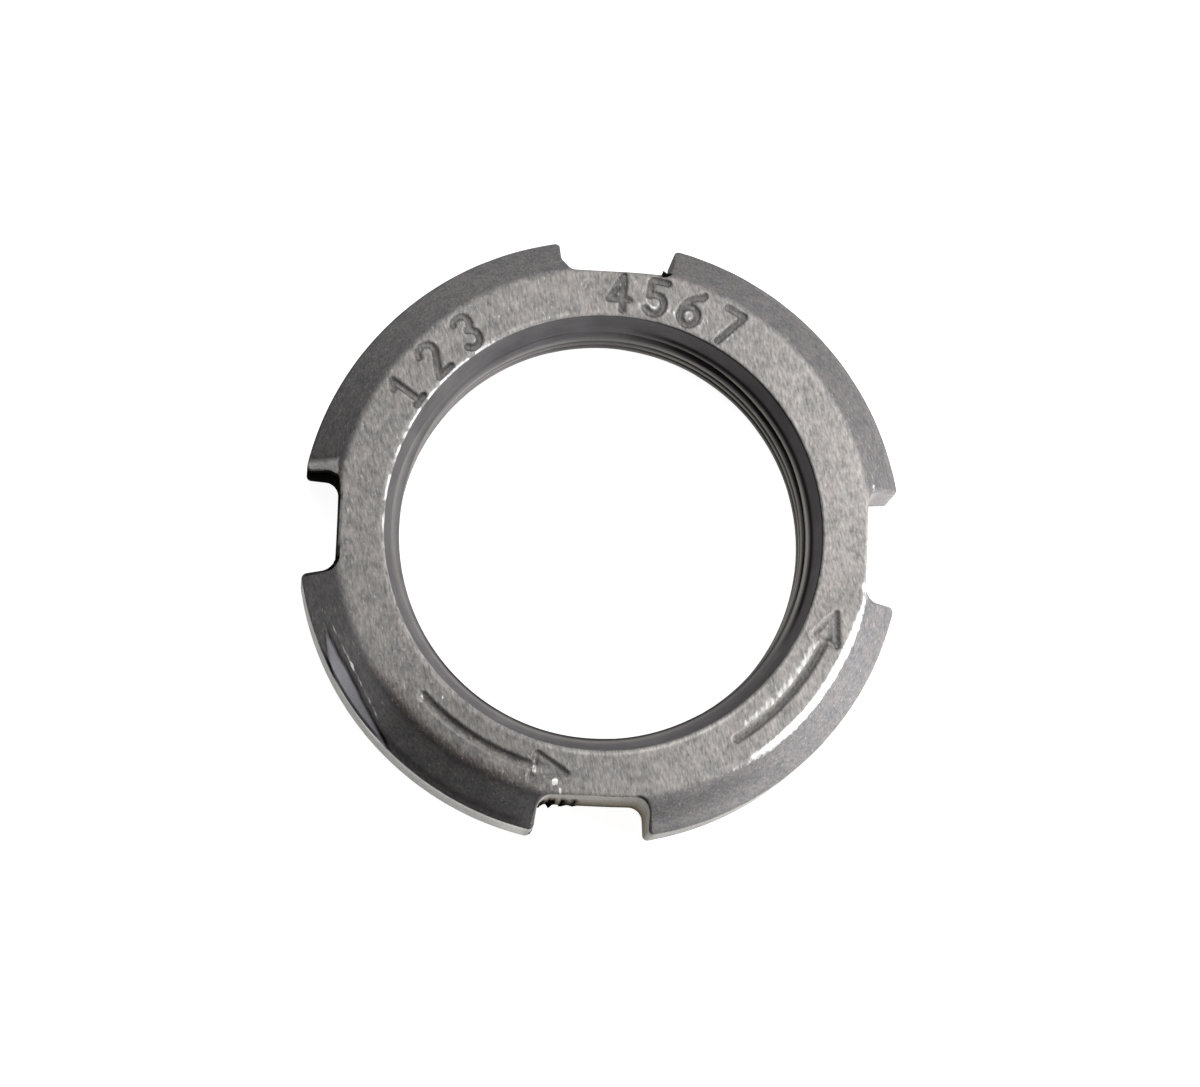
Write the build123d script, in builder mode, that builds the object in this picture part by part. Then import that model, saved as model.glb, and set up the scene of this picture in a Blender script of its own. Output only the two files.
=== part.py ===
"""A slotted round nut with a raised collar, in millimetres.

One casting with a machined and threaded bore. It lies on its flat bearing face, its axis is +Z, and
the origin is the centre of that face. Four spanner notches are cut into the rim, one on each of the
X and Y axes. The thread's own helix is too fine for this model: the bore is a plain cylinder at the
thread's minor diameter.
"""

import os
from math import radians, tan

from build123d import *

# Body, turned about Z
outer_diameter = 60.0
thickness = 11.5
rim_height = 7.6
slope_width = 3.5
shoulder_radius = 1.0
base_chamfer = 0.35

# Bore: a thread of 42 mm by 2 mm, here at its minor diameter
thread_minor_diameter = 40.1
recess_diameter = 43.4
recess_depth = 3.2
recess_taper = 11.0
bore_chamfer = 1.4
lip_radius = 0.3

# Spanner notches
notch_count = 4
notch_depth = 3.85
notch_floor_width = 10.5
notch_flare = 4.0
notch_corner_radius = 1.4
tab_corner_radius = 0.5
edge_chamfer = 0.25

# Flat ground into the foot of the slope, with a step behind it
ground_azimuth = 209.0
ground_depth = 1.6
ground_height = 8.5

# Slack for telling corners and faces apart
slack = 0.001

outer_radius = outer_diameter / 2
collar_radius = outer_radius - slope_width
bore_radius = thread_minor_diameter / 2
recess_radius = recess_diameter / 2
seat_radius = recess_radius - recess_depth * tan(radians(recess_taper))
seat_height = thickness - recess_depth
thread_start_height = seat_height - (seat_radius - bore_radius)
notch_floor_distance = outer_radius - notch_depth
notch_mouth_distance = outer_radius + notch_depth
notch_length = notch_mouth_distance - notch_floor_distance
notch_mouth_width = notch_floor_width + 2 * notch_length * tan(radians(notch_flare))
ground_distance = outer_radius - ground_depth


def radius_of(shape):
    """Distance of a shape's centre from the axis."""
    centre = shape.center()
    return (centre.X**2 + centre.Y**2) ** 0.5


def on_rim(vertex):
    """Whether a vertex of the outline lies on its outer circle."""
    return radius_of(vertex) > outer_radius - slack


def corner(sketch, x, y):
    """The corner of a sketch that lies nearest to a point."""
    return sketch.vertices().sort_by_distance((x, y))[0]


with BuildSketch(mode=Mode.PRIVATE) as notch:
    with BuildLine():
        Polyline(
            (notch_floor_distance, -notch_floor_width / 2),
            (notch_mouth_distance, -notch_mouth_width / 2),
            (notch_mouth_distance, notch_mouth_width / 2),
            (notch_floor_distance, notch_floor_width / 2),
            close=True,
        )
    make_face()

with BuildPart() as slotted_nut:
    # The turned section, bore side first
    with BuildSketch(Plane.XZ) as section:
        with BuildLine():
            Polyline(
                (bore_radius + bore_chamfer, 0),
                (outer_radius, 0),
                (outer_radius, rim_height),
                (collar_radius, thickness),
                (recess_radius, thickness),
                (seat_radius, seat_height),
                (bore_radius, thread_start_height),
                (bore_radius, bore_chamfer),
                close=True,
            )
        make_face()
        fillet(corner(section, collar_radius, thickness), shoulder_radius)
        fillet(corner(section, recess_radius, thickness), lip_radius)
    revolve(axis=Axis.Z)

    # The outline seen from above: a disc with its notches, every corner rounded
    with BuildSketch() as outline:
        Circle(outer_radius)
        with PolarLocations(0, notch_count):
            add(notch.sketch, mode=Mode.SUBTRACT)
        fillet(outline.vertices().filter_by(lambda v: not on_rim(v)), notch_corner_radius)
        fillet(outline.vertices().filter_by(on_rim), tab_corner_radius)
    extrude(amount=thickness, mode=Mode.INTERSECT)

    # The edges all round the outline, broken above and below
    walls = slotted_nut.faces().filter_by(
        lambda face: abs(face.normal_at().Z) < slack and radius_of(face) > recess_radius
    )
    chamfer(walls.edges().filter_by(lambda edge: edge.center().Z > rim_height - edge_chamfer), edge_chamfer)
    chamfer(slotted_nut.faces().sort_by(Axis.Z)[0].outer_wire().edges(), base_chamfer)

    # The ground flat
    with BuildSketch(Plane.XY.offset(ground_height)) as ground:
        with PolarLocations(ground_distance, 1, start_angle=ground_azimuth):
            Rectangle(outer_radius, outer_radius, align=(Align.MIN, Align.CENTER))
    extrude(amount=thickness - ground_height, mode=Mode.SUBTRACT)

slotted_nut.part.label = "slotted_nut"

os.makedirs("parts", exist_ok=True)
export_step(slotted_nut.part, "parts/slotted_nut.step")
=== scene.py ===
"""Looks for a slotted round nut: one steel casting with a bored and threaded hole.

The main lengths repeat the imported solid's. They are in millimetres in the nut's own frame, with its
axis on Z and its bearing face on the floor, and its mesh turns them to metres.
"""

import math

import bpy
import numpy as np
from mathutils import Matrix, Vector


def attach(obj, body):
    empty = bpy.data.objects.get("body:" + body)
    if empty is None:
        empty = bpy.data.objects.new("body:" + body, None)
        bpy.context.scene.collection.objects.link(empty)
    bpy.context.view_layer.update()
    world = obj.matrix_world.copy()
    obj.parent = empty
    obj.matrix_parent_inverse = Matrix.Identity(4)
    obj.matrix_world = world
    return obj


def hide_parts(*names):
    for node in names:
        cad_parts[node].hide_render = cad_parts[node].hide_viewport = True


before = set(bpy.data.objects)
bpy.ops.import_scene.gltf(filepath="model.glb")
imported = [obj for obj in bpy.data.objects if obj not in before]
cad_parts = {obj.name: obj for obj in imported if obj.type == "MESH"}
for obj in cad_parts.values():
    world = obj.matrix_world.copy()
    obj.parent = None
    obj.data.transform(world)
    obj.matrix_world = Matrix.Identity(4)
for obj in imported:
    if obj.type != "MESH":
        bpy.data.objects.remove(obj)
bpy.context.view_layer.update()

# The camera
# It looks down at the nut from half a metre up, leaning a little towards the lower edge of the
# picture, and the picture's middle lies a few pixels off the nut's axis.
camera_place = Vector((-0.03084, -0.06861, 0.46199))
camera_up = Vector((-0.0401, 0.9992, 0.0))
focal_length = 139.33
picture_width = 1200
off_axis_x = 4.07
off_axis_y = 4.46

camera_back = camera_place.normalized()
camera_right = camera_up.cross(camera_back).normalized()
camera_top = camera_back.cross(camera_right)
camera = bpy.data.objects.new("camera", bpy.data.cameras.new("camera"))
bpy.context.scene.collection.objects.link(camera)
camera.matrix_world = Matrix.Translation(camera_place) @ Matrix(
    (camera_right, camera_top, camera_back)
).transposed().to_4x4()
camera.data.sensor_width = 36.0
camera.data.lens = focal_length
camera.data.shift_x = off_axis_x / picture_width
camera.data.shift_y = off_axis_y / picture_width
bpy.context.scene.camera = camera

# The nut's outline
# Seen from above the casting is a disc with four spanner notches, one on each half axis. Their
# walls open outwards, and the mould has rounded their inner corners and the corners of the tabs.
rim_radius = 30.0
notch_floor = 26.15
notch_half_width = 5.25
notch_flare = math.radians(4.0)
notch_corner = 1.4
tab_corner = 0.5

# How far each half notch's wall stands into its notch, in turn from the +X notch
wall_shifts = np.array([-0.24, -0.72, 0.11, 0.18, 0.35, -0.07, -0.33, -0.18])
shift_fade = 3.0

# The wall's direction, where along it the inner corner ends, and where the tab's corner starts
wall_x, wall_y = math.cos(notch_flare), math.sin(notch_flare)
inner_start = notch_corner * (1 - wall_y) / wall_x
inner_centre = np.array(
    [
        notch_floor + notch_corner,
        notch_half_width + inner_start * wall_y - notch_corner * wall_x,
    ]
)
wall_foot = np.array([notch_floor - tab_corner * wall_y, notch_half_width + tab_corner * wall_x])
foot_along = wall_foot[0] * wall_x + wall_foot[1] * wall_y
outer_start = -foot_along + math.sqrt(
    foot_along**2 - wall_foot @ wall_foot + (rim_radius - tab_corner) ** 2
)
outer_centre = wall_foot + outer_start * np.array([wall_x, wall_y])
outer_azimuth = math.atan2(outer_centre[1], outer_centre[0])

run_lengths = np.array(
    [
        inner_centre[1],
        notch_corner * (math.pi / 2 - notch_flare),
        outer_start - inner_start,
        tab_corner * (outer_azimuth + math.pi / 2 - notch_flare),
        rim_radius * (math.pi / 4 - outer_azimuth),
    ]
)
run_ends = np.cumsum(run_lengths)
octant_length = run_ends[-1]
outline_length = 8 * octant_length


def smooth(share):
    """A share from 0 to 1, eased at both ends: three times its square less twice its cube."""
    return share * share * (3 - 2 * share)


def outline(along):
    """Points and outward normals of the outline at lengths along it, from the middle of the +X notch.

    An eighth of it is a straight floor, an arc, a straight wall, an arc and a stretch of the rim's
    circle. The next eighth is its mirror image in the diagonal, and the quarters are turned copies.
    The mould isn't quite even, so each notch's wall is turned a little about the axis, and this fades
    out along the floor and the rim.
    """
    eighth = np.floor(along / octant_length).astype(int) % 8
    quarter, t = np.divmod(along, 2 * octant_length)
    mirrored = t > octant_length
    t = np.where(mirrored, 2 * octant_length - t, t)
    inner_turn = math.pi - (t - run_ends[0]) / notch_corner
    along_wall = inner_start + t - run_ends[1]
    outer_turn = notch_flare - math.pi / 2 + (t - run_ends[2]) / tab_corner
    rim_turn = outer_azimuth + (t - run_ends[3]) / rim_radius
    stretch = np.searchsorted(run_ends[:-1], t)
    x = np.choose(
        stretch,
        [
            np.full_like(t, notch_floor),
            inner_centre[0] + notch_corner * np.cos(inner_turn),
            notch_floor + along_wall * wall_x,
            outer_centre[0] + tab_corner * np.cos(outer_turn),
            rim_radius * np.cos(rim_turn),
        ],
    )
    y = np.choose(
        stretch,
        [
            t,
            inner_centre[1] + notch_corner * np.sin(inner_turn),
            notch_half_width + along_wall * wall_y,
            outer_centre[1] + tab_corner * np.sin(outer_turn),
            rim_radius * np.sin(rim_turn),
        ],
    )
    one = np.ones_like(t)
    normal_x = np.choose(
        stretch, [one, -np.cos(inner_turn), wall_y * one, np.cos(outer_turn), np.cos(rim_turn)]
    )
    normal_y = np.choose(
        stretch, [0 * one, -np.sin(inner_turn), -wall_x * one, np.sin(outer_turn), np.sin(rim_turn)]
    )
    x, y = np.where(mirrored, y, x), np.where(mirrored, x, y)
    normal_x, normal_y = (
        np.where(mirrored, normal_y, normal_x),
        np.where(mirrored, normal_x, normal_y),
    )
    turn = quarter * math.pi / 2
    nearness = np.interp(
        t,
        [run_ends[0] - shift_fade, run_ends[0], run_ends[3], run_ends[3] + 2 * shift_fade],
        [0, 1, 1, 0],
    )
    side = np.where(eighth % 2 == 0, -1, 1)
    turn = turn + side * smooth(nearness) * wall_shifts[eighth] / rim_radius
    cos, sin = np.cos(turn), np.sin(turn)
    points = np.stack([x * cos - y * sin, x * sin + y * cos], axis=-1)
    normals = np.stack([normal_x * cos - normal_y * sin, normal_x * sin + normal_y * cos], axis=-1)
    return points, normals


# The marks struck into the collar
# Two rows of plain figures and two arrows, pressed into the collar's face by round-nosed punches.
# The figures' tops point outwards, and both arrows run anticlockwise round the nut.
figure_foot = 22.3
figure_height = 3.4


def bow(x, y, radius, start, end, count=9):
    """Points on an arc round (x, y), from one angle to another in degrees."""
    turn = np.radians(np.linspace(start, end, count))
    return np.stack([x + radius * np.cos(turn), y + radius * np.sin(turn)], axis=-1)


# Each figure's strokes, through points to the right of its middle and up from its foot
figure_strokes = {
    1: [np.array([(-0.5, 2.75), (0.15, 3.4), (0.15, 0.0)]), np.array([(-0.45, 0.0), (0.75, 0.0)])],
    2: [np.concatenate([bow(0.0, 2.55, 0.85, 165, -35), [(-0.85, 0.0), (0.9, 0.0)]])],
    3: [np.concatenate([bow(0.0, 2.6, 0.8, 150, -80), bow(0.0, 0.9, 0.9, 80, -150)])],
    4: [np.array([(0.4, 0.0), (0.4, 3.4), (-0.95, 1.05), (0.95, 1.05)])],
    5: [np.concatenate([[(0.8, 3.4), (-0.65, 3.4), (-0.75, 1.85)], bow(-0.05, 1.05, 1.0, 128, -145)])],
    6: [
        bow(0.0, 0.95, 0.92, 90, 450, 15),
        np.concatenate([bow(1.4, 0.95, 2.32, 180, 108), [(0.75, 3.4)]]),
    ],
    7: [np.array([(-0.85, 3.4), (0.9, 3.4), (-0.15, 0.0)])],
}

# Each figure's azimuth in degrees, and how deep its foot and its top are struck
figures = [
    (1, 147.4, 0.50, 0.34),
    (2, 137.3, 0.50, 0.32),
    (3, 127.0, 0.50, 0.28),
    (4, 88.8, 0.46, 0.46),
    (5, 79.9, 0.44, 0.44),
    (6, 71.2, 0.44, 0.44),
    (7, 61.6, 0.46, 0.44),
]
figure_half_width = 0.42

# Each arrow's tail, neck and tip in degrees. The metal between the two strokes of its head, its
# heart, is pressed down too, from a little after the neck to a little before the tip.
arrows = [(225.2, 255.6, 263.3), (304.8, 336.3, 343.2)]
arrow_radius = 24.2
arrow_half_width = 0.52
arrow_depth = 0.6
head_reach = 1.3
head_half_width = 0.4
head_depth = 0.4
heart_after_neck = 1.2
heart_before_tip = 2.2
heart_half_width = 0.6 * head_reach
heart_depth = 0.32

# A stroke's section, and the burr of metal that the punch pushes up beside it. The burr's place and
# reach are shares of the stroke's half width, and so is a distance that counts as far away.
groove_power = 0.4
burr_height = 0.035
burr_middle = 1.3
burr_reach = 0.28
far_from_marks = 9.0


def pairs(line):
    """A line's segments, as starts and ends side by side."""
    return np.concatenate([line[:-1], line[1:]], axis=-1)


def on_ring(radius, degrees):
    """Plan points at radii and azimuths in degrees."""
    turn = np.radians(degrees)
    return np.stack([radius * np.cos(turn), radius * np.sin(turn)], axis=-1)


mark_segments = []
mark_shapes = []
for figure, azimuth, foot_depth, top_depth in figures:
    for line in figure_strokes[figure]:
        radius = figure_foot + line[:, 1]
        sideways = np.degrees(line[:, 0] / (figure_foot + figure_height / 2))
        share = line[:, 1] / figure_height
        depth = foot_depth + (top_depth - foot_depth) * share
        mark_segments.append(pairs(on_ring(radius, azimuth - sideways)))
        shape = np.stack([depth, np.full_like(depth, figure_half_width)], axis=-1)
        mark_shapes.append((shape[:-1] + shape[1:]) / 2)

for tail, neck, tip in arrows:
    shaft = on_ring(arrow_radius, np.linspace(tail, neck, 12))
    head = on_ring(
        arrow_radius + head_reach * np.array([0.0, 1.0, -1.0, 0.0]),
        np.array([tip, neck, neck, tip]),
    )
    heart = on_ring(arrow_radius, np.array([neck + heart_after_neck, tip - heart_before_tip]))
    for line, deep, width in (
        (shaft, arrow_depth, arrow_half_width),
        (head, head_depth, head_half_width),
        (heart, heart_depth, heart_half_width),
    ):
        mark_segments.append(pairs(line))
        mark_shapes.append(np.tile([deep, width], (len(line) - 1, 1)))

mark_segments = np.concatenate(mark_segments)
mark_shapes = np.concatenate(mark_shapes)


def mark_depth(x, y):
    """How deep the marks are at plan points, and how far they are from the nearest stroke's middle.

    Each stroke is a groove whose section is one hump of a raised cosine to the power 0.4, as wide as
    the punch, and where strokes meet the deepest counts. The distance is a share of the half width.
    """
    depth = np.zeros(x.size)
    nearest = np.full(x.size, far_from_marks)
    points = np.stack([x.ravel(), y.ravel()], axis=-1)
    for (x0, y0, x1, y1), (deep, half_width) in zip(mark_segments, mark_shapes):
        run = np.array([x1 - x0, y1 - y0])
        away = points - (x0, y0)
        share = np.clip(away @ run / (run @ run), 0, 1)
        off = np.hypot(away[:, 0] - share * run[0], away[:, 1] - share * run[1]) / half_width
        groove = np.where(off < 1, (0.5 + 0.5 * np.cos(np.pi * off)) ** groove_power, 0)
        depth = np.maximum(depth, deep * groove)
        nearest = np.minimum(nearest, off)
    return depth.reshape(x.shape), nearest.reshape(x.shape)


def hump(value, middle, reach):
    """A bell curve of height 1 round a middle."""
    return np.exp(-(((value - middle) / reach) ** 2))


def mark_burr(nearest):
    """Height of the burr beside a stroke: a low bell curve just outside its edge."""
    return burr_height * hump(nearest, burr_middle, burr_reach) * (nearest > 1)


# The casting's turned section
# A flat collar with a rounded shoulder, and a slope that runs straight down to the rim. On one side
# a grinder has cut a low flat into the slope's foot, which left a steep step behind it.
thickness = 11.5
rim_height = 7.6
collar_corner = 26.5
shoulder_round = 1.0
edge_round = 0.35
base_chamfer = 0.35

# The ground flat: its direction, its height at the step's foot, how far it falls for each millimetre
# outwards and sideways, and the foot, the turn and the steepness of the step
ground_azimuth = math.radians(209.0)
ground_height = 8.46
ground_tilt = 0.57
ground_fall = 0.1
step_foot = 28.6
foot_turn = 0.02
step_angle = math.radians(60.0)

# Two notch walls have their upper edge knocked off: the side of the nut, where the wall starts, and
# the width of the break. It fades in a little outside the notch's floor, and has a greatest depth,
# as a share of its width.
broken_edges = [(-1, 5.07, 1.0), (1, 5.49, 0.45)]
break_start = 0.2
break_fade = 0.3
break_most = 1.3

# How far the cast surface wavers: in its depth, in the section's radius and at the step's foot
skin_waver = 0.012
section_waver = 0.03
foot_waver = 0.06

slope_angle = math.atan2(thickness - rim_height, rim_radius - collar_corner)
shoulder_start = collar_corner - shoulder_round * math.tan(slope_angle / 2)
shoulder_end = shoulder_start + shoulder_round * math.sin(slope_angle)

wave_count = 14
wobble = np.random.default_rng(7)
wave_directions = wobble.uniform(0, math.pi, wave_count)
wave_lengths = wobble.uniform(1.6, 6.5, wave_count)
wave_phases = wobble.uniform(0, 2 * math.pi, wave_count)


def cast_wave(x, y):
    """Uneven cast surface, between about -1 and 1: the sum of fourteen plane sine waves over six."""
    total = np.zeros_like(x)
    for direction, length, phase in zip(wave_directions, wave_lengths, wave_phases):
        across = x * math.cos(direction) + y * math.sin(direction)
        total += np.sin(2 * math.pi * across / length + phase)
    return total / 6


def section_height(radius):
    """The turned section's upper side: flat, shoulder arc and straight slope."""
    shoulder = thickness - shoulder_round + np.sqrt(
        np.clip(shoulder_round**2 - (radius - shoulder_start) ** 2, 0, None)
    )
    slope = rim_height + (rim_radius - radius) * math.tan(slope_angle)
    return np.select(
        [radius < shoulder_start, radius < shoulder_end],
        [np.full_like(radius, thickness), shoulder],
        slope,
    )


def across_ground(x, y):
    """How far out plan points are along the middle line of the ground flat, and how far beside it."""
    cos, sin = math.cos(ground_azimuth), math.sin(ground_azimuth)
    return x * cos + y * sin, y * cos - x * sin


def ground_plane(across, beside):
    """Height of the ground flat, a plane that falls outwards and to one side, and its foot's place."""
    flat = ground_height - ground_tilt * (across - step_foot) - ground_fall * beside
    return flat, step_foot - foot_turn * beside


def edge_fall(x, y):
    """How far the broken edges lie below the slope: a plane at 45 degrees beside each wall."""
    total = np.zeros_like(x)
    for side, wall, width in broken_edges:
        off_floor = side * x - notch_floor
        off_wall = y - wall - off_floor * math.tan(notch_flare)
        fade = np.clip((off_floor - break_start) / break_fade, 0, 1)
        fall = np.clip(width - off_wall, 0, break_most * width) * fade
        total = total + np.where(y > 0, fall, 0)
    return total


def top_height(x, y):
    """Height of the upper side at plan points.

    It is the turned section, lowered by the cast waves, the marks and the broken edges, and cut off
    by the steep step and the tilted flat that the grinder left.
    """
    radius = np.hypot(x, y)
    wave = cast_wave(x, y)
    height = section_height(radius + section_waver * wave)
    depth, nearest = mark_depth(x, y)
    height = height - skin_waver * (1.1 + wave) - np.maximum(depth, burr_height - mark_burr(nearest))
    across, beside = across_ground(x, y)
    flat, foot = ground_plane(across, beside)
    step = flat + (foot + foot_waver * wave - across) * math.tan(step_angle)
    height = height - edge_fall(x, y)
    return np.where(across > 0, np.minimum(height, np.maximum(flat, step)), height)


# The bore
# It is turned from above: a lip, a slightly tapered counterbore, a seat at 45 degrees and a thread of
# 42 mm by 2 mm, whose grooves run out through the seat and through the mouth at the bearing face.
thread_crest = 20.05
thread_root = 21.0
thread_pitch = 2.0
thread_flank = math.radians(30.0)
root_half_width = 0.125
seat_radius = 21.078
seat_height = 8.3
recess_corner = 21.7
recess_taper = math.radians(11.0)
lip_round = 0.3
mouth_radius = 21.45

lip_reach = lip_round / math.tan((math.pi / 2 + recess_taper) / 2)
lip_centre = (recess_corner + lip_reach, thickness - lip_round)
thread_top = seat_height - (seat_radius - thread_crest)


def thread_radius(turn, height):
    """Radius of the threaded bore at an azimuth and a height.

    The groove is a 60 degree V with a flat root, wound as a right-hand helix, so its middle rises by
    one pitch each turn. The seat above and the mouth below are cones that cut its crests away.
    """
    phase = height / thread_pitch - turn / (2 * math.pi)
    off_root = np.abs(phase - np.floor(phase) - 0.5) * thread_pitch
    groove = thread_root - (off_root - root_half_width) / math.tan(thread_flank)
    threaded = np.clip(groove, thread_crest, thread_root)
    seat = thread_crest + height - thread_top
    mouth = mouth_radius - height
    return np.maximum(threaded, np.maximum(seat, mouth))


# The shadow lumps
# Black, thin and ragged lumps stand in some corners of the notches, painted where shade falls there,
# and one corner has kept some flash. Each spot has its place, its reach and its thickness.
shadow_lump_spots = [
    (5.15, 26.35, 0.4, 0.62),
    (-5.25, -27.2, 0.4, 0.22),
    (-5.5, -29.0, 0.3, 0.2),
    (-4.6, -26.4, 0.35, 0.34),
    (-3.75, -26.15, 0.35, 0.42),
    (-2.75, -26.15, 0.45, 0.46),
    (-1.35, -26.15, 0.22, 0.3),
    (-26.15, 1.9, 0.4, 0.14),
    (-26.3, -4.7, 0.8, 0.1),
]
flash_spots = [(-4.95, 26.75, 0.6, 0.42)]

# The lumps' ragged form is this much finer than the cast surface's waves
lump_fineness = 4.7


def lumps(x, y, spots, unevenness):
    """Thickness of the lumps at plan points: the highest of the bell curves round the spots.

    They are ragged by the cast waves, made finer, times an unevenness.
    """
    ragged = 0.6 + unevenness * cast_wave(lump_fineness * x, lump_fineness * y)
    ragged = np.clip(ragged, 0, 1.5)
    thick = np.zeros_like(x)
    for spot_x, spot_y, reach, most in spots:
        gap = np.hypot(x - spot_x, y - spot_y)
        thick = np.maximum(thick, most * ragged * hump(gap, 0, reach))
    return thick


# The nut's skin
# The casting and all that is cut into it are one closed mesh. Its columns run from the bore over the
# collar to a point of the outline, down the wall and back under the nut.
millimetre = 0.001
column_count = 820
bore_rows = 68
bore_foot = 0.04
counterbore_heights = (8.34, 8.6, 9.2, 9.8, 10.4, 10.75, 10.95, 11.08, 11.2)
ring_start = 22.0
ring_end = 25.5
ring_step = 0.13
underside_radii = (25.2, 21.6, 21.49)

# Columns turn about the axis as the outline does, but always by a little for each millimetre of it,
# so that they stay apart in the bore
least_turn = math.radians(0.8)
fine = np.linspace(0, outline_length, 40001)
fine_points = outline(fine[:-1])[0]
fine_turn = np.unwrap(np.arctan2(fine_points[:, 1], fine_points[:, 0]))
fine_rate = np.diff(np.append(fine_turn, fine_turn[0] + 2 * math.pi)) / np.diff(fine)
spread = np.append(0, np.cumsum(np.maximum(fine_rate, least_turn) * np.diff(fine)))
fine_azimuth = spread * 2 * math.pi / spread[-1]

# They stand closest together at the notches' corners, then at the marks and along the walls
marked = [(58, 66), (68, 75.5), (76.5, 83), (85.5, 92.5), (123.5, 151), (223.5, 264.5), (303, 344.5)]
degrees = np.degrees(fine_azimuth[:-1])
at_marks = np.zeros(len(degrees), bool)
for first, last in marked:
    at_marks |= (degrees > first) & (degrees < last)
octant_place = np.abs((fine[:-1] + octant_length) % (2 * octant_length) - octant_length)
stretch = np.searchsorted(run_ends[:-1], octant_place)
at_corners = (stretch == 1) | (stretch == 3)
at_walls = stretch == 2
crowding = np.select([at_corners, at_marks, at_walls], [8.0, 6.2, 3.5], 2.0)
crowding = np.append(0, np.cumsum(crowding * np.diff(fine)))
column_along = np.interp(np.arange(column_count) * crowding[-1] / column_count, crowding, fine)
edge_points, edge_normals = outline(column_along)
column_azimuth = np.interp(column_along, fine, fine_azimuth)
column_degrees = np.degrees(column_azimuth)


def ring(radius, height, azimuth):
    """A row at a radius and a height, which may each vary along it."""
    radius = radius + 0 * azimuth
    return np.stack([radius * np.cos(azimuth), radius * np.sin(azimuth), height + 0 * azimuth], axis=-1)


def inset(depth, height):
    """A row that runs inside the outline at a depth."""
    plan = edge_points - depth * edge_normals
    return np.column_stack([plan, height + 0 * plan[:, 0]])


def raised(row):
    """A row lifted or lowered to the upper side's height."""
    return np.column_stack([row[:, :2], top_height(row[:, 0], row[:, 1])])


bore_azimuth = column_azimuth[::2]
bore_skin = []
for height in np.linspace(bore_foot, seat_height, bore_rows):
    bore_skin.append(ring(thread_radius(bore_azimuth, height), height, bore_azimuth))
for height in counterbore_heights:
    radius = seat_radius + (height - seat_height) * math.tan(recess_taper)
    bore_skin.append(ring(radius, height, bore_azimuth))

skin = []

# The lip's edge wavers by a few hundredths of a millimetre
lip_waver = 0.02 * cast_wave(25 * np.cos(3 * column_azimuth), 25 * np.sin(3 * column_azimuth))
for turn in np.radians([169, 150, 130, 110]):
    lip_radius = lip_centre[0] + lip_round * math.cos(turn) + lip_waver
    skin.append(ring(lip_radius, lip_centre[1] + lip_round * math.sin(turn), column_azimuth))
lip_rows = len(skin)

# The collar's face
for radius in np.arange(ring_start, ring_end, ring_step):
    skin.append(raised(ring(radius, thickness, column_azimuth)))

# Beyond the collar's face the rows turn from circles into the outline
hem = inset(edge_round, 0)
hem_radius = np.hypot(hem[:, 0], hem[:, 1])
hem_turn = np.arctan2(hem[:, 1], hem[:, 0])
hem_shift = (hem_turn - column_azimuth + math.pi) % (2 * math.pi) - math.pi
hem_rows = np.concatenate(
    [
        np.linspace(ring_end, shoulder_start, 4)[:-1],
        np.linspace(shoulder_start, shoulder_end, 10)[:-1],
        np.linspace(shoulder_end, rim_radius - edge_round, 20)[:-1],
    ]
)
for row_radius in hem_rows:
    share = (row_radius - ring_end) / (rim_radius - edge_round - ring_end)
    radius = ring_end + (hem_radius - ring_end) * share
    skin.append(raised(ring(radius, 0, column_azimuth + hem_shift * smooth(share))))
edge_start = len(skin)

# The edge between the upper side and the wall is rounded in a quarter turn
for turn in np.radians([0, 18, 36, 54, 72, 90]):
    row = raised(inset(edge_round * (1 - math.sin(turn)), 0))
    row[:, 2] -= edge_round * (1 - math.cos(turn))
    skin.append(row)
top_rows = len(skin)
wall_top = skin[-1][:, 2]

# The black lumps of painted shadow and the flash stand out from the wall, low in the notch on -Y and high
# elsewhere
shadow_lumps = lumps(*edge_points.T, shadow_lump_spots, unevenness=0.75)
flash = lumps(*edge_points.T, flash_spots, unevenness=0.1)
far_corner = edge_points[:, 1] > -20
for row in skin[edge_start:]:
    row[:, :2] += flash[:, None] * edge_normals

# How far down the wall each row is, and how much of the shadow lumps it carries in the far corners and the
# near
wall_steps = [
    (0.04, 0.95, 0.0),
    (0.25, 0.8, 0.0),
    (0.5, 0.4, 0.25),
    (0.75, 0.15, 0.9),
    (0.93, 0.05, 1.0),
]
coats = []
for share, far_coat, near_coat in wall_steps:
    row = inset(0, wall_top + (base_chamfer - wall_top) * share)
    coats.append(np.where(far_corner, far_coat, near_coat) * shadow_lumps)
    row[:, :2] += np.maximum(coats[-1], flash * (1 - share))[:, None] * edge_normals
    skin.append(row)
wall_rows = len(skin)
foot_steps = [(0.0, base_chamfer), (0.05, base_chamfer - 0.05), (base_chamfer, 0.0), (0.45, 0.0)]
for depth, height in foot_steps:
    skin.append(inset(depth, height))
for radius in underside_radii:
    skin.append(ring(radius, 0, column_azimuth))

bore_grid = np.arange(len(bore_skin) * len(bore_azimuth)).reshape(len(bore_skin), -1)
skin_grid = bore_grid.size + np.arange(len(skin) * column_count).reshape(len(skin), -1)
places = np.concatenate(bore_skin + skin)


def quads(grid):
    """The faces between neighbouring rows of a grid of points that closes on itself sideways."""
    right = np.roll(grid, -1, axis=1)
    return np.stack([grid[:-1], grid[1:], right[1:], right[:-1]], axis=-1).reshape(-1, 4)


def stitch(coarse, close):
    """Triangles between a row and one with twice as many points, three for each point of the first."""
    beyond, even, odd = np.roll(coarse, -1), close[0::2], close[1::2]
    following = np.roll(even, -1)
    return np.concatenate(
        [
            np.stack([coarse, odd, even], axis=-1),
            np.stack([coarse, beyond, odd], axis=-1),
            np.stack([beyond, following, odd], axis=-1),
        ]
    )


bore_faces = quads(bore_grid)
skin_faces = quads(skin_grid)
upper_stitch = stitch(bore_grid[-1], skin_grid[0])[:, ::-1]
lower_stitch = stitch(bore_grid[0], skin_grid[-1])

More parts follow.
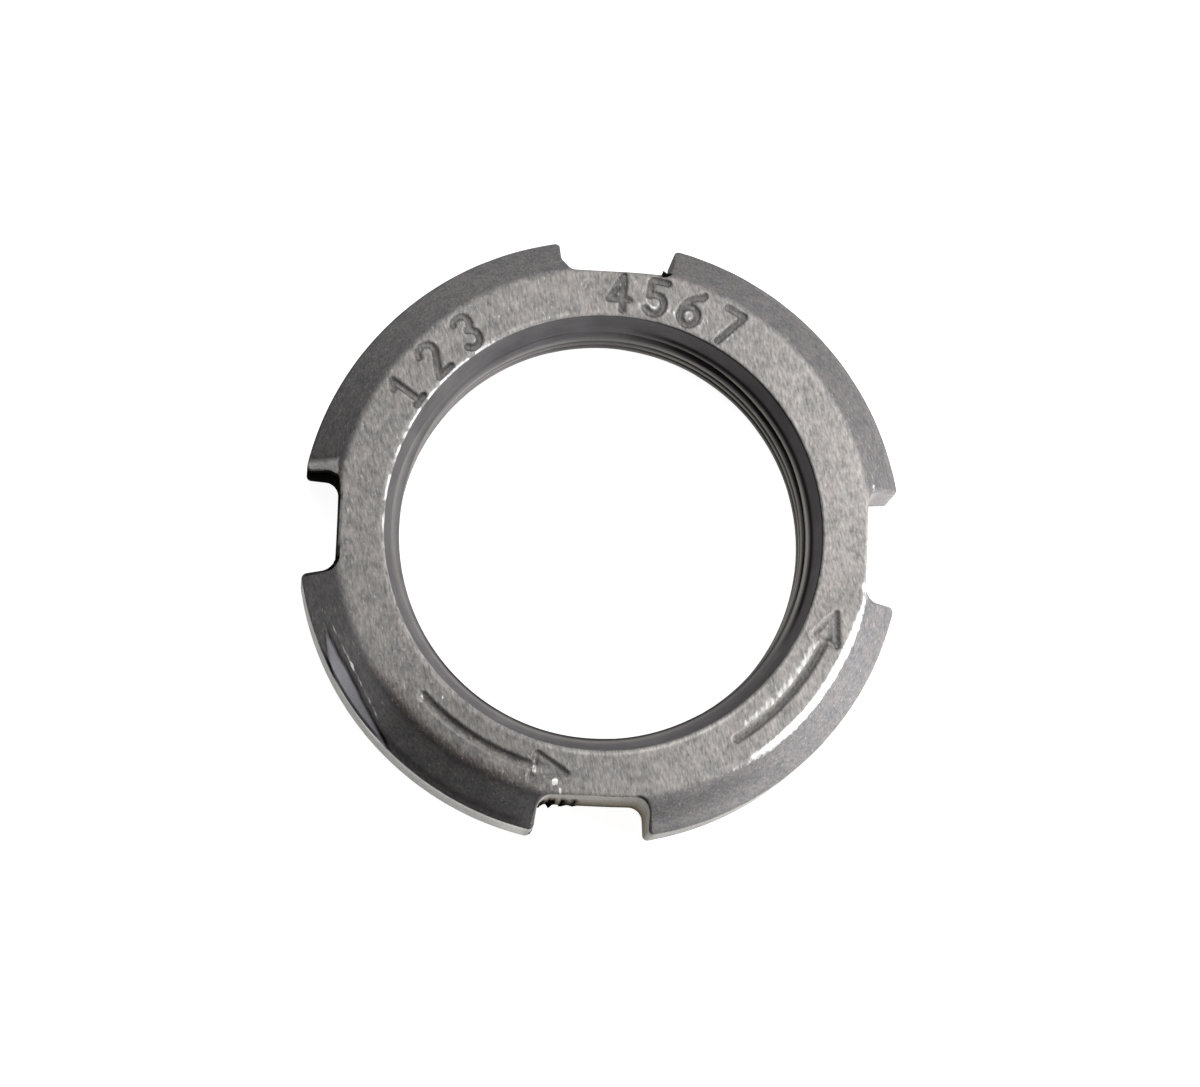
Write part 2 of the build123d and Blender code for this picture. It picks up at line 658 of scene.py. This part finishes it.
nut_mesh = bpy.data.meshes.new("nut_casting")
nut_mesh.from_pydata(
    (places * millimetre).tolist(),
    [],
    bore_faces.tolist() + upper_stitch.tolist() + lower_stitch.tolist() + skin_faces.tolist(),
)
nut_mesh.polygons.foreach_set("use_smooth", np.ones(len(nut_mesh.polygons), bool))

# The faces of the bore take the second material
bore_face_count = len(bore_faces) + len(upper_stitch) + len(lower_stitch)
cut_by_tool = np.zeros(len(nut_mesh.polygons), np.int32)
cut_by_tool[:bore_face_count] = 1
nut_mesh.polygons.foreach_set("material_index", cut_by_tool)

# The marks of use, with painted light and shade
# Numbers that the mesh keeps for each vertex and the two steels read: where the nut is rubbed and where
# highlights are painted on it, where it is dark with oil, dirt and painted shade, where it is brown or
# smooth, and how pale each surface is, partly as painted light and shade.
x, y, z = places.T
radius = np.hypot(x, y)
azimuth = np.degrees(np.arctan2(y, x)) % 360


def keep_on_mesh(name, values):
    """Stores one number for each vertex under a name that the materials read."""
    nut_mesh.attributes.new(name, "FLOAT", "POINT").data.foreach_set("value", values.astype(np.float32))


def span(value, first, last, fade):
    """1 between two azimuths or places, fading to 0 outside them. Azimuths may pass through 0."""
    middle, half = (first + last) / 2, (last - first) / 2
    away = np.abs((value - middle + 180) % 360 - 180)
    return np.clip((half + fade - away) / fade, 0, 1)


def band(place, middle, reach, first, last, fade):
    """A band round the nut: a bell curve across it, from one azimuth to another."""
    return hump(place, middle, reach) * span(azimuth, first, last, fade)


def on_rows(first, end):
    """Whether each vertex is on the skin's rows from the first up to the end."""
    mask = np.zeros(len(places), bool)
    mask[skin_grid[first:end]] = True
    return mask


on_lip = on_rows(0, lip_rows)
on_top = on_rows(lip_rows, top_rows)
on_edge = on_rows(edge_start, top_rows)
on_wall = on_rows(top_rows - 2, len(skin))
above_floor = z > 0.1
across, beside = across_ground(x, y)
stroke_depth, from_stroke = mark_depth(x, y)

# Rubbed bright, as real wear and as painted highlights: the lip and the shoulder on the side where the
# light falls, the crest of the ground step and the metal beside one arrow and some figures are painted
# highlights on worn metal, and a little of all other edges is worn.
beads = np.clip(0.75 + 1.3 * cast_wave(0.9 * azimuth, 0.4 * azimuth), 0, 1)
wear_and_highlight = on_lip * (0.25 + 0.7 * beads * span(azimuth, 128, 178, 12))
highlight_most = span(azimuth, 314, 337, 10)
shoulder_middle = shoulder_start + 0.46 + 0.12 * span(azimuth, 280, 320, 12)
on_shoulder = on_top * hump(radius, shoulder_middle, 0.48 - 0.1 * highlight_most)
wear_and_highlight = wear_and_highlight + on_shoulder * (0.1 + 0.78 * span(azimuth, 318, 335, 30) + 0.7 * highlight_most)
wear_and_highlight = wear_and_highlight + 0.6 * on_top * hump(across, 27.98, 0.12) * span(beside, -3.5, 7.0, 1.5)
wear_and_highlight = wear_and_highlight + 0.58 * on_top * band(radius, 23.35, 0.4, 309, 334, 4)
beside_stroke = (from_stroke > 1) * hump(from_stroke, 1.4, 0.7)
wear_and_highlight = wear_and_highlight + 0.45 * on_top * beside_stroke * band(radius, 23.0, 0.9, 58, 84, 3)
wear_and_highlight = wear_and_highlight + 0.15 * on_top * hump(from_stroke, 1.25, 0.3) + 0.05 * on_edge

# Each painted glint's radius, azimuth and reach. The glints are bright and ragged, and drawn out along Y.
glints = [
    (27.3, 12.6, 0.28),
    (26.15, 350.4, 0.3),
    (25.95, 262.7, 0.3),
    (25.3, 260.8, 0.2),
    (26.1, 278.7, 0.3),
    (28.05, 210.9, 0.16),
    (24.3, 224.9, 0.45),
    (24.3, 256.0, 0.5),
    (25.0, 261.3, 0.36),
    (22.9, 228.6, 0.2),
]
glint_waver = 1 + 0.45 * cast_wave(4 * x, 4 * y)
for glint_radius, glint_azimuth, reach in glints:
    glint_x, glint_y = on_ring(glint_radius, glint_azimuth)
    off_glint = np.hypot(2.0 * (x - glint_x), 0.85 * (y - glint_y))
    wear_and_highlight = wear_and_highlight + 1.3 * hump(off_glint, 0, reach * glint_waver) * (z > rim_height)
keep_on_mesh("wear_and_highlight", np.clip(wear_and_highlight, 0, 1.3))

# Dark: painted shade at the foot of the ground step and a painted shadow line on the slope above one
# part of the rim, darker lines along the outer edge of the ground flat and over one notch wall, and the
# black lumps of painted shadow
flat, foot = ground_plane(across, beside)
cut = section_height(radius) - flat
# The step's foot is darkened as painted shade in its crease
foot_line = hump(across, foot - 0.08 + foot_waver * cast_wave(x, y), 0.13) * np.clip(cut / 0.2, 0, 1)
edge_line = hump(cut, 0.0, 0.06) * span(beside, -3.5, 9.0, 1.0) * (across > foot)
# A painted shadow line on the slope above the rim, on the side away from the light
rim_line = band(radius, 29.4, 0.3, 226, 254, 4)
dirt_and_shade = on_top * (0.8 * foot_line * (across > 0) + 0.5 * edge_line + 0.45 * rim_line)
edge_rows = skin_grid[edge_start + 1 : edge_start + 4]
dirt_and_shade[edge_rows] += 0.6 * span(azimuth[edge_rows], 206, 223, 3)
dirt_and_shade[edge_rows] += 0.75 * span(azimuth[edge_rows], 279.8, 281.4, 0.7)
dirt_and_shade[skin_grid[edge_start:top_rows]] += far_corner * np.clip(shadow_lumps / 0.12, 0, 1)
dirt_and_shade[skin_grid[top_rows:wall_rows]] += np.clip(np.array(coats) / 0.035, 0, 1)

# Rows of the skin that are dark between two azimuths: the rows, the azimuths, their fade and how
# dark. The walls and the edge of the notch on -X, two stretches of the rim's edge and the lower edge
# of the notch on -Y are painted shadow, and the lip is dark on one side.
dark_rows = [
    (top_rows, top_rows + 7, 166.8, 192.0, 0.5, [0.85, 1, 0.98, 0.95, 0.93, 0.92, 0.9]),
    (top_rows - 3, top_rows + 2, 173.0, 192.0, 0.5, 0.85),
    (edge_start, top_rows - 3, 185.5, 191.5, 0.5, 0.8),
    (edge_start + 3, top_rows, 62, 76, 2, 0.7),
    (edge_start + 3, top_rows, 118, 168, 2, 0.7),
    (wall_rows - 1, wall_rows + 1, 266, 281, 1, 0.4),
    (0, 2, 348, 436, 10, [0.9, 0.35]),
]
for first_row, end_row, first, last, fade, dark in dark_rows:
    dirt_and_shade[skin_grid[first_row:end_row]] += np.outer(dark, span(column_degrees, first, last, fade))
keep_on_mesh("dirt_and_shade", np.clip(dirt_and_shade, 0, 1))

# In shade: the strokes, and most of all their edges, but of an arrow only those on one side
in_stroke = on_top * np.clip(stroke_depth / 0.15, 0, 1)
in_figure = span(azimuth, 55, 155, 1)
in_shade = np.where(azimuth > 285, radius > arrow_radius, radius < arrow_radius) * (1 - in_figure)
edge_of_stroke = hump(from_stroke, 0.75, 0.35) * (in_figure + in_shade)
keep_on_mesh("groove", in_stroke * (0.2 + 0.2 * in_figure + 0.5 * edge_of_stroke))

# The collar's face, the walls and the ground flat have colours of their own. The walls' pale colour is
# painted light, and two notch walls are left nearly as grey as the slope
on_face = np.clip((shoulder_end - 0.1 - radius) / 0.55, 0, 1)
keep_on_mesh("collar", (on_top | on_lip) * on_face)
grey_wall = 0.9 * span(azimuth, 0, 15, 2) + 0.9 * span(azimuth, 74, 83, 2)
keep_on_mesh("wall", on_wall * (1 - grey_wall))
on_flat = on_top * np.clip((across - foot + 0.05) / 0.1, 0, 1) * np.clip(cut / 0.06, 0, 1)
keep_on_mesh("ground", on_flat)

# Smooth enough to mirror: the ground flat, the rim's wall where it has been rubbed, and the broken
# edge on -X
shiny_wall = 0.34 * span(azimuth, 192, 257, 2) + 0.2 * span(azimuth, 258, 284, 8)
broken = on_top * np.clip(edge_fall(x, y) / 0.12, 0, 1)
keep_on_mesh("polish", 0.3 * on_flat + on_wall * shiny_wall * above_floor + 0.24 * broken * (x < 0))

# How pale the steel is, by azimuth: on the collar's face and on the slope this is painted light and
# shade, and the slope is palest beside the ground flat, where the grinder has scuffed it
face_tones = [
    (0, 1.1), (30, 1.22), (60, 1.12), (90, 1.09), (110, 1.2), (150, 1.12), (180, 1.1),
    (200, 1.08), (215, 1.03), (235, 0.86), (250, 0.84), (262, 1.0), (290, 1.11), (312, 1.07),
    (330, 1.0), (345, 0.94), (360, 1.1),
]
slope_tones = [
    (0, 0.85), (15, 0.8), (30, 0.86), (45, 0.94), (57, 1.07), (105, 1.0), (122, 1.03),
    (152, 0.79), (168, 0.75), (192, 1.3), (202, 1.6), (208, 2.1), (218, 1.95), (226, 1.15),
    (255, 1.05), (285, 1.04), (330, 1.0), (345, 0.87), (360, 0.85),
]
face = np.interp(azimuth, *np.transpose(face_tones))
slope = np.interp(azimuth, *np.transpose(slope_tones))
# A painted highlight along the rim's edge on one side
slope = slope * (1 + 0.18 * band(radius, 29.65, 0.2, 12, 60, 4))
pale = slope + (face - slope) * on_face
low_slope = hump(radius, 29.4, 0.45) - 0.8 * hump(radius, 27.7, 0.6)
pale = pale * (1 + 0.22 * on_top * low_slope * span(azimuth, 280, 298, 12))
# A band of painted light along the shoulder on one side
pale = pale * (1 + 0.14 * on_top * band(radius, 26.1, 0.25, 12, 62, 6))
# Painted light along the inner edge of the collar's face, beside the lip
pale = pale * (1 + 0.55 * band(radius, 22.0, 0.15, 110, 300, 20))
# The broken edges are painted light, most of all on -X
pale = pale * (1 + np.where(x < 0, 2.2, 0.2) * broken)

# The ground flat is pale, partly ground bright and partly painted light in the collar's shadow, and
# palest in its middle as a painted sheen, two stretches of the wall are paler than the rest as painted
# light, and the bearing face is duller
flat_pale = 0.62 + 0.32 * hump(beside, 0.5, 3.5)
pale = pale + (flat_pale - pale) * on_flat
wall_pale = 1 + 0.3 * span(azimuth, 0, 15, 2) * above_floor - 0.3 * ~above_floor
wall_pale = wall_pale + 0.3 * span(azimuth, 222, 256, 4) * (z > 6.2)
keep_on_mesh("pale", np.where(on_wall, wall_pale, pale))

# Brown: a stain along the shoulder on the ground side, which carries painted shade too, and rust on the
# walls of two notches
brown = on_top * 0.62 * band(radius, 26.5, 0.5, 221, 249, 14)
brown = brown + on_top * 0.3 * band(radius, 25.9, 0.5, 222, 252, 10)
brown = brown + on_wall * span(azimuth, 256, 286, 1) * (radius < 29.7) * np.clip((9.5 - z) / 8, 0.15, 0.85)
brown = (brown + 0.5 * on_wall * span(azimuth, 166.8, 174, 1)) * above_floor
keep_on_mesh("brown", np.clip(brown, 0, 1))

# The bore's far side is dark with oil and painted shade: under the lip, in the seat's corner, in the
# thread's grooves and at the mouth, between paler rings of painted light on the seat and on the
# thread's crests
far = span(azimuth, 345, 430, 18)
threaded_part = z < thread_top
soot_and_shade = 1.1 * hump(z, 11.12, 0.1) * far + band(z, 8.12, 0.2, 342, 432, 14)
soot_and_shade = soot_and_shade + 0.9 * band(z, 7.38, 0.11, 222, 428, 22)
soot_and_shade = soot_and_shade + threaded_part * np.clip((radius - thread_crest - 0.1) / 0.15, 0, 1) * (0.25 + 0.7 * far)
soot_and_shade = soot_and_shade + np.clip((2.6 - z) / 1.4, 0, 1) * far
keep_on_mesh("soot_and_shade", np.clip(soot_and_shade, 0, 1))
# The paler rings on the thread's crests and on the seat are painted light
crests = threaded_part * (z > 1.6) * np.clip((thread_crest + 0.1 - radius) / 0.08, 0, 1)
keep_on_mesh("crest", np.clip(hump(z, 7.7, 0.16) + 0.75 * crests, 0, 1) * (0.35 + 0.65 * far))

# How pale the bored steel is, as painted light and shade: by azimuth in the counterbore, and most on one
# side of the thread
counterbore_tones = [
    (0, 0.95), (60, 0.95), (85, 0.7), (105, 0.7), (125, 0.9), (145, 0.86), (165, 0.88),
    (185, 0.77), (205, 0.79), (225, 0.81), (245, 0.82), (270, 0.95), (290, 0.98), (305, 0.72),
    (325, 0.68), (345, 0.8), (360, 0.95),
]
counterbore = np.interp(azimuth, *np.transpose(counterbore_tones))
thread_pale = 0.9 + 0.5 * span(azimuth, 118, 170, 20)
keep_on_mesh("bore_light_and_shade", np.where(threaded_part, thread_pale, counterbore))

nut_casting = bpy.data.objects.new("nut_casting", nut_mesh)
bpy.context.scene.collection.objects.link(nut_casting)
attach(nut_casting, "root")
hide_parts("slotted_nut")


# The cast steel
# The casting's skin is matt grey with a streaky, sparkling grain. The collar's face is linished
# lighter than the slopes, which are also painted darker as shade, and handling has brightened the
# shoulder and the edges, where highlights are painted too.
def add(tree, kind, settings=None, **inputs):
    """A node of a kind, with settings on the node and plain values or links on its inputs.

    An input goes by its name, with underscores for spaces, or by its number after an underscore.
    """
    node = tree.nodes.new(kind)
    for name, value in (settings or {}).items():
        setattr(node, name, value)
    for name, value in inputs.items():
        socket = node.inputs[int(name[1:])] if name[0] == "_" else node.inputs[name.replace("_", " ")]
        if isinstance(value, bpy.types.NodeSocket):
            tree.links.new(value, socket)
        else:
            socket.default_value = value
    return node


def maths(tree, operation, first, second=0.0, clamp=False):
    """The result of one sum on two values or links."""
    settings = {"operation": operation, "use_clamp": clamp}
    return add(tree, "ShaderNodeMath", settings, _0=first, _1=second).outputs[0]


def stretched(tree, value, middle, gain, clamp=False):
    """A value less a middle, times a gain."""
    return maths(tree, "MULTIPLY", maths(tree, "SUBTRACT", value, middle), gain, clamp=clamp)


def linear(tree, value, gain, start):
    """A value times a gain, plus a start."""
    return maths(tree, "ADD", maths(tree, "MULTIPLY", value, gain), start)


def scaled(tree, vector, factor):
    """A colour or a place times a number."""
    node = add(tree, "ShaderNodeVectorMath", {"operation": "SCALE"}, _0=vector, Scale=factor)
    return node.outputs[0]


def noise(tree, place, scale, detail, **inputs):
    """Grey noise at a place."""
    node = add(tree, "ShaderNodeTexNoise", Vector=place, Scale=scale, Detail=detail, **inputs)
    return node.outputs["Fac"]


def blend_colours(tree, share, first, second):
    """A mix of two colours by a share."""
    node = add(tree, "ShaderNodeMix", {"data_type": "RGBA"}, _0=share, _6=first, _7=second)
    return node.outputs[2]


def group_tree(name, inputs, outputs):
    """An empty node group whose inputs and outputs are named numbers, and its two end nodes."""
    tree = bpy.data.node_groups.new(name, "ShaderNodeTree")
    for label, value in inputs.items():
        socket = tree.interface.new_socket(label, in_out="INPUT", socket_type="NodeSocketFloat")
        socket.default_value = value
    for label in outputs:
        tree.interface.new_socket(label, in_out="OUTPUT", socket_type="NodeSocketFloat")
    return tree, tree.nodes.new("NodeGroupInput"), tree.nodes.new("NodeGroupOutput")


def metal_grain():
    """A group that puts out a fine streaky grain, coarser streaks, sparse sparkles and mottling.

    Each is noise on Object coordinates turned to millimetres. The first three are drawn out along Y,
    turned a little, and the streaks are spread to fill the range from 0 to 1.
    """
    tree, start, end = group_tree(
        "metal_grain",
        {"Per mm": 4.3, "Drawn out": 0.3, "Sparkle": 0.63},
        ["Grain", "Streak", "Sparkle", "Mottle"],
    )
    per_metre = 1 / millimetre
    turn = (0.0, 0.0, math.radians(-13.0))
    place = add(tree, "ShaderNodeTexCoord").outputs["Object"]
    turned = add(tree, "ShaderNodeMapping", {"vector_type": "POINT"}, Vector=place, Rotation=turn)
    drawn_out = maths(tree, "MULTIPLY", start.outputs["Drawn out"], per_metre)
    scales = add(tree, "ShaderNodeCombineXYZ", X=per_metre, Y=drawn_out, Z=per_metre).outputs[0]
    drawn = add(
        tree, "ShaderNodeVectorMath", {"operation": "MULTIPLY"}, _0=turned.outputs[0], _1=scales
    ).outputs[0]
    per_mm = start.outputs["Per mm"]
    grain = noise(tree, drawn, per_mm, 3.0, Roughness=0.65)
    streak = noise(tree, drawn, maths(tree, "MULTIPLY", per_mm, 0.75), 2.0)
    spark = noise(tree, drawn, maths(tree, "MULTIPLY", per_mm, 1.5), 1.0, Distortion=0.4)
    mottle = noise(tree, scaled(tree, place, per_metre), 0.75, 3.0, Roughness=0.65)
    streak = stretched(tree, streak, 0.32, 2.8, clamp=True)
    spark = stretched(tree, spark, start.outputs["Sparkle"], 9.0, clamp=True)
    for name, value in (("Grain", grain), ("Streak", streak), ("Sparkle", spark), ("Mottle", mottle)):
        tree.links.new(value, end.inputs[name])
    return tree


grain_group = metal_grain()


def empty_tree(owner):
    """The node tree of a material or a world, cleared."""
    owner.use_nodes = True
    owner.node_tree.nodes.clear()
    return owner.node_tree


def new_material(name):
    """A material, its tree and its shader, which feeds its output."""
    material = bpy.data.materials.new(name)
    tree = empty_tree(material)
    shader = add(tree, "ShaderNodeBsdfPrincipled")
    add(tree, "ShaderNodeOutputMaterial", Surface=shader.outputs[0])
    return material, tree, shader


def mesh_value(tree, name):
    """A number that the mesh keeps for each vertex."""
    return add(tree, "ShaderNodeAttribute", {"attribute_name": name}).outputs["Fac"]


# The slope's colours are darker than the collar's partly as painted shade, and the wall's and the ground
# flat's colours are pale partly as painted light
slope_colours = (0.262, 0.258, 0.266, 1.0), (0.284, 0.264, 0.262, 1.0)
collar_colours = (0.395, 0.382, 0.372, 1.0), (0.43, 0.404, 0.383, 1.0)
ground_colour = (0.61, 0.6, 0.645, 1.0)
wall_colour = (0.71, 0.695, 0.665, 1.0)
worn_and_highlight_colour = (0.85, 0.84, 0.83, 1.0)
groove_colour = (0.13, 0.128, 0.13, 1.0)
stain_and_shade_colour = (0.075, 0.055, 0.05, 1.0)
rust_colour = (0.4, 0.33, 0.22, 1.0)
dirt_and_shade_colour = (0.01, 0.009, 0.009, 1.0)
grain_depth = 0.00006

cast_steel, tree, shader = new_material("cast_steel")
grain = add(tree, "ShaderNodeGroup", {"node_tree": grain_group})
collar_share = mesh_value(tree, "collar")
wall_share = mesh_value(tree, "wall")
ground_share = mesh_value(tree, "ground")
dirt_and_shade_share = mesh_value(tree, "dirt_and_shade")

# The colour of each surface, mottled on the slope and the collar
patches = stretched(tree, grain.outputs["Mottle"], 0.38, 4.0, clamp=True)
slope_colour = blend_colours(tree, patches, *slope_colours)
collar_colour = blend_colours(tree, patches, *collar_colours)
colour = blend_colours(tree, collar_share, slope_colour, collar_colour)
colour = blend_colours(tree, ground_share, colour, ground_colour)
colour = blend_colours(tree, wall_share, colour, wall_colour)
colour = blend_colours(tree, mesh_value(tree, "groove"), colour, groove_colour)
colour = scaled(tree, colour, mesh_value(tree, "pale"))
brown_colour = blend_colours(tree, wall_share, stain_and_shade_colour, rust_colour)
colour = blend_colours(tree, mesh_value(tree, "brown"), colour, brown_colour)

# The grain, strongest on the collar and weakest on the ground flat
rough_share = linear(tree, collar_share, 0.3, 0.7)
rough_share = maths(tree, "MULTIPLY", rough_share, linear(tree, ground_share, -0.6, 1.0))
grain_shade = stretched(tree, grain.outputs["Grain"], 0.5, 1.8)
mottle_shade = stretched(tree, grain.outputs["Mottle"], 0.5, 0.7)
shade = maths(tree, "ADD", grain_shade, mottle_shade)
colour = scaled(tree, colour, linear(tree, shade, rough_share, 1.0))

# Bare metal where it is rubbed, where highlights are painted and where a grain sparkles, and the
# dirt and painted shade over all
rubbed_and_highlight = linear(tree, mesh_value(tree, "wear_and_highlight"), 2.4, grain.outputs["Streak"])
rubbed_and_highlight = maths(tree, "SUBTRACT", rubbed_and_highlight, 1.45, clamp=True)
sparkle = maths(tree, "MULTIPLY", maths(tree, "MULTIPLY", grain.outputs["Sparkle"], rough_share), 0.4)
bright = maths(tree, "MAXIMUM", rubbed_and_highlight, sparkle)
colour = blend_colours(tree, bright, colour, worn_and_highlight_colour)
colour = blend_colours(tree, dirt_and_shade_share, colour, dirt_and_shade_colour)
metal_share = maths(tree, "MAXIMUM", maths(tree, "MULTIPLY", bright, 0.55), mesh_value(tree, "polish"))
clean_share = maths(tree, "SUBTRACT", 1.0, dirt_and_shade_share)

tree.links.new(colour, shader.inputs["Base Color"])
tree.links.new(maths(tree, "MULTIPLY", metal_share, clean_share), shader.inputs["Metallic"])
tree.links.new(linear(tree, bright, -0.22, 0.55), shader.inputs["Roughness"])
shader.inputs["Specular IOR Level"].default_value = 0.0
bump = add(tree, "ShaderNodeBump", Strength=0.4, Distance=grain_depth, Height=grain.outputs["Grain"])
tree.links.new(bump.outputs[0], shader.inputs["Normal"])
nut_mesh.materials.append(cast_steel)

# The bored steel
# The counterbore and the thread are turned, so they carry fine tool rings instead of the grain. Oil
# and dust have darkened them, and painted shade and light lie on them too.
ring_colours = (0.208, 0.199, 0.212, 1.0), (0.324, 0.311, 0.314, 1.0)
crest_colour = (0.62, 0.58, 0.52, 1.0)
soot_and_shade_colour = (0.012, 0.01, 0.01, 1.0)
rings_per_mm = 5.0
stains_per_metre = 260.0
ring_depth = 0.00003

bored_steel, tree, shader = new_material("bored_steel")
place = add(tree, "ShaderNodeTexCoord").outputs["Object"]
apart = add(tree, "ShaderNodeSeparateXYZ", Vector=place)
rings = add(
    tree,
    "ShaderNodeTexNoise",
    {"noise_dimensions": "1D"},
    W=maths(tree, "MULTIPLY", apart.outputs["Z"], 1 / millimetre),
    Scale=rings_per_mm,
    Detail=3.0,
    Roughness=0.7,
).outputs["Fac"]
stain = noise(tree, place, stains_per_metre, 4.0, Roughness=0.6)
crest_share = mesh_value(tree, "crest")
soot_and_shade_share = mesh_value(tree, "soot_and_shade")
colour = blend_colours(tree, rings, *ring_colours)
colour = scaled(tree, colour, linear(tree, stain, 0.8, 0.6))
colour = blend_colours(tree, crest_share, colour, crest_colour)
colour = scaled(tree, colour, mesh_value(tree, "bore_light_and_shade"))
colour = blend_colours(tree, soot_and_shade_share, colour, soot_and_shade_colour)
crest_shine = maths(tree, "MULTIPLY", crest_share, 0.2)
clean_share = maths(tree, "SUBTRACT", 1.0, soot_and_shade_share)

tree.links.new(colour, shader.inputs["Base Color"])
tree.links.new(maths(tree, "MULTIPLY", crest_shine, clean_share), shader.inputs["Metallic"])
tree.links.new(linear(tree, stain, 0.2, 0.35), shader.inputs["Roughness"])
shader.inputs["Specular IOR Level"].default_value = 0.0
bump = add(tree, "ShaderNodeBump", Strength=0.4, Distance=ring_depth, Height=rings)
tree.links.new(bump.outputs[0], shader.inputs["Normal"])
nut_mesh.materials.append(bored_steel)

# The floor
# A plain white sheet, which the camera and mirrors see as white and which keeps the nut's shadow.
# It is part of the picture, but not of the nut.
white = (1.0, 1.0, 1.0, 1.0)
sheet_colour = (0.7, 0.7, 0.69, 1.0)
sheet_glow = 0.94
floor_half = 2.0
floor_corners = floor_half * np.array([(-1, -1, 0), (1, -1, 0), (1, 1, 0), (-1, 1, 0)])
floor_mesh = bpy.data.meshes.new("floor")
floor_mesh.from_pydata(floor_corners.tolist(), [], [(0, 1, 2, 3)])
floor = bpy.data.objects.new("floor", floor_mesh)
bpy.context.scene.collection.objects.link(floor)


def seen_plainly(tree):
    """1 for rays from the camera, a mirror or through glass, and otherwise 0."""
    path = add(tree, "ShaderNodeLightPath")
    seen = maths(tree, "MAXIMUM", path.outputs["Is Camera Ray"], path.outputs["Is Glossy Ray"])
    return maths(tree, "MAXIMUM", seen, path.outputs["Is Transmission Ray"])


white_sheet = bpy.data.materials.new("white_sheet")
tree = empty_tree(white_sheet)
matt = add(tree, "ShaderNodeBsdfDiffuse", Color=sheet_colour)
glow_strength = maths(tree, "MULTIPLY", seen_plainly(tree), sheet_glow)
glow = add(tree, "ShaderNodeEmission", Color=white, Strength=glow_strength)
both = add(tree, "ShaderNodeAddShader", _0=matt.outputs[0], _1=glow.outputs[0])
add(tree, "ShaderNodeOutputMaterial", Surface=both.outputs[0])
floor_mesh.materials.append(white_sheet)

# The light
# The room is white to the camera but gives little light. A small softbox stands low and close to the
# nut on +X, and a larger one higher up on +Y.
room_glow = 0.95
room_light = 0.05

world = bpy.data.worlds.new("studio")
bpy.context.scene.world = world
tree = empty_tree(world)
strength = linear(tree, seen_plainly(tree), room_glow, room_light)
sky = add(tree, "ShaderNodeBackground", Color=white, Strength=strength)
add(tree, "ShaderNodeOutputWorld", Surface=sky.outputs[0])


def lamp(name, azimuth, elevation, distance, size, power):
    """A square softbox that faces the nut from an azimuth and an elevation in degrees.

    The camera doesn't see it.
    """
    turn, rise = math.radians(azimuth), math.radians(elevation)
    aim = Vector((math.cos(turn) * math.cos(rise), math.sin(turn) * math.cos(rise), math.sin(rise)))
    data = bpy.data.lights.new(name, "AREA")
    data.size = size
    data.energy = power
    lamp_object = bpy.data.objects.new(name, data)
    lamp_object.location = aim * distance
    lamp_object.rotation_mode = "QUATERNION"
    lamp_object.rotation_quaternion = aim.to_track_quat("Z", "Y")
    lamp_object.visible_camera = False
    bpy.context.scene.collection.objects.link(lamp_object)


lamp("key", azimuth=-18.0, elevation=25.5, distance=0.1, size=0.06, power=0.09)
lamp("fill", azimuth=92.0, elevation=58.0, distance=0.15, size=0.12, power=0.107)

bpy.context.scene.view_settings.view_transform = "Standard"
